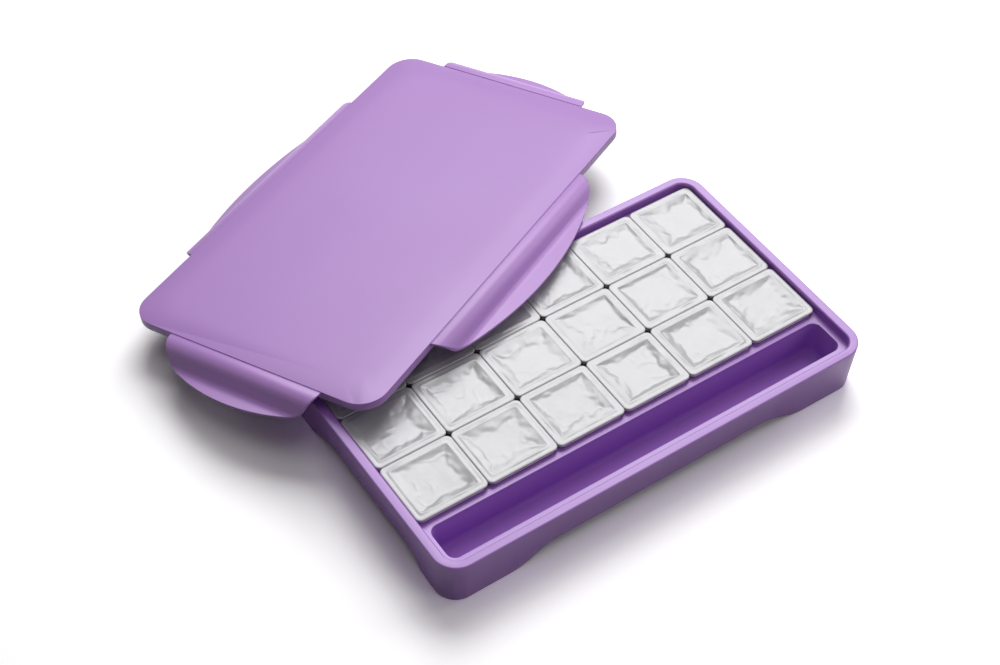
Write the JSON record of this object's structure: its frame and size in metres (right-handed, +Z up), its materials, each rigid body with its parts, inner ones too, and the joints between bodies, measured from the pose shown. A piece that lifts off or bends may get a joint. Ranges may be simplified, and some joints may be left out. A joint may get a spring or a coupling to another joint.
{
  "type": "gouache paint set box",
  "caption": "Low rectangular paint tray with a grid of film-sealed paint cups and a brush trough, its flap-latched lid lying askew across the back rim.",
  "frame": {"origin": "middle of the tray's underside, on the table", "axes": "+X along the tray to its right, +Y from the brush trough to the back, +Z up"},
  "size_m": [0.312, 0.3424, 0.0451],
  "materials": {
    "lilac_tray": "satin moulded polypropylene",
    "lilac_lid": "satin moulded polypropylene",
    "lilac_latch": "satin moulded polypropylene",
    "white_cup": "smooth white polypropylene",
    "sealing_film": "wrinkled silver sealing film",
    "paint_01": "matt gouache paste",
    "paint_02": "matt gouache paste",
    "paint_03": "matt gouache paste",
    "paint_04": "matt gouache paste",
    "paint_05": "matt gouache paste",
    "paint_06": "matt gouache paste",
    "paint_07": "matt gouache paste",
    "paint_08": "matt gouache paste",
    "paint_09": "matt gouache paste",
    "paint_10": "matt gouache paste",
    "paint_11": "matt gouache paste",
    "paint_12": "matt gouache paste",
    "paint_13": "matt gouache paste",
    "paint_14": "matt gouache paste",
    "paint_15": "matt gouache paste",
    "paint_16": "matt gouache paste",
    "paint_17": "matt gouache paste",
    "paint_18": "matt gouache paste"
  },
  "bodies": {
    "tray": {"base_tray": "lilac_tray", "paint_cup_07": "white_cup", "gouache_07": "paint_07", "film_lid_07": "sealing_film", "paint_cup_08": "white_cup", "gouache_08": "paint_08", "film_lid_08": "sealing_film", "paint_cup_13": "white_cup", "gouache_13": "paint_13", "film_lid_13": "sealing_film", "paint_cup_14": "white_cup", "gouache_14": "paint_14", "film_lid_14": "sealing_film", "paint_cup_15": "white_cup", "gouache_15": "paint_15", "film_lid_15": "sealing_film", "paint_cup_16": "white_cup", "gouache_16": "paint_16", "film_lid_16": "sealing_film", "paint_cup_17": "white_cup", "gouache_17": "paint_17", "film_lid_17": "sealing_film"},
    "lid": {"lid": "lilac_lid"},
    "latch_front": {"latch_flap_front": "lilac_latch"},
    "latch_back": {"latch_flap_back": "lilac_latch"},
    "latch_left": {"latch_flap_left": "lilac_latch"},
    "latch_right": {"latch_flap_right": "lilac_latch"},
    "cup_01": {"paint_cup_01": "white_cup", "gouache_01": "paint_01", "film_lid_01": "sealing_film"},
    "cup_02": {"paint_cup_02": "white_cup", "gouache_02": "paint_02", "film_lid_02": "sealing_film"},
    "cup_03": {"paint_cup_03": "white_cup", "gouache_03": "paint_03", "film_lid_03": "sealing_film"},
    "cup_04": {"paint_cup_04": "white_cup", "gouache_04": "paint_04", "film_lid_04": "sealing_film"},
    "cup_05": {"paint_cup_05": "white_cup", "gouache_05": "paint_05", "film_lid_05": "sealing_film"},
    "cup_06": {"paint_cup_06": "white_cup", "gouache_06": "paint_06", "film_lid_06": "sealing_film"},
    "cup_09": {"paint_cup_09": "white_cup", "gouache_09": "paint_09", "film_lid_09": "sealing_film"},
    "cup_10": {"paint_cup_10": "white_cup", "gouache_10": "paint_10", "film_lid_10": "sealing_film"},
    "cup_11": {"paint_cup_11": "white_cup", "gouache_11": "paint_11", "film_lid_11": "sealing_film"},
    "cup_12": {"paint_cup_12": "white_cup", "gouache_12": "paint_12", "film_lid_12": "sealing_film"},
    "cup_18": {"paint_cup_18": "white_cup", "gouache_18": "paint_18", "film_lid_18": "sealing_film"}
  },
  "joints": [
    {"name": "lid_lift", "type": "slide", "parent": "tray", "child": "lid", "axis": [0, 0, 1], "range_m": [0, 0.06]},
    {"name": "latch_front_hinge", "type": "hinge", "parent": "lid", "child": "latch_front", "pos_m": [0.00404, 0.07188, 0.03891], "axis": [-0.9085, -0.4159, 0.041], "range_deg": [0, 30]},
    {"name": "latch_back_hinge", "type": "hinge", "parent": "lid", "child": "latch_back", "pos_m": [-0.06179, 0.21355, 0.01731], "axis": [0.9085, 0.4159, -0.041], "range_deg": [0, 35]},
    {"name": "latch_left_hinge", "type": "hinge", "parent": "lid", "child": "latch_left", "pos_m": [-0.15043, 0.08706, 0.0336], "axis": [-0.4175, 0.8983, -0.137], "range_deg": [-45, 30]},
    {"name": "latch_right_hinge", "type": "hinge", "parent": "lid", "child": "latch_right", "pos_m": [0.09268, 0.19837, 0.02263], "axis": [0.4175, -0.8983, 0.137], "range_deg": [-30, 30]},
    {"name": "cup_01_lift", "type": "slide", "parent": "tray", "child": "cup_01", "axis": [0, 0, 1], "range_m": [0, 0.04]},
    {"name": "cup_02_lift", "type": "slide", "parent": "tray", "child": "cup_02", "axis": [0, 0, 1], "range_m": [0, 0.04]},
    {"name": "cup_03_lift", "type": "slide", "parent": "tray", "child": "cup_03", "axis": [0, 0, 1], "range_m": [0, 0.04]},
    {"name": "cup_04_lift", "type": "slide", "parent": "tray", "child": "cup_04", "axis": [0, 0, 1], "range_m": [0, 0.04]},
    {"name": "cup_05_lift", "type": "slide", "parent": "tray", "child": "cup_05", "axis": [0, 0, 1], "range_m": [0, 0.04]},
    {"name": "cup_06_lift", "type": "slide", "parent": "tray", "child": "cup_06", "axis": [0, 0, 1], "range_m": [0, 0.04]},
    {"name": "cup_09_lift", "type": "slide", "parent": "tray", "child": "cup_09", "axis": [0, 0, 1], "range_m": [0, 0.04]},
    {"name": "cup_10_lift", "type": "slide", "parent": "tray", "child": "cup_10", "axis": [0, 0, 1], "range_m": [0, 0.04]},
    {"name": "cup_11_lift", "type": "slide", "parent": "tray", "child": "cup_11", "axis": [0, 0, 1], "range_m": [0, 0.04]},
    {"name": "cup_12_lift", "type": "slide", "parent": "tray", "child": "cup_12", "axis": [0, 0, 1], "range_m": [0, 0.04]},
    {"name": "cup_18_lift", "type": "slide", "parent": "tray", "child": "cup_18", "axis": [0, 0, 1], "range_m": [0, 0.04]}
  ]
}
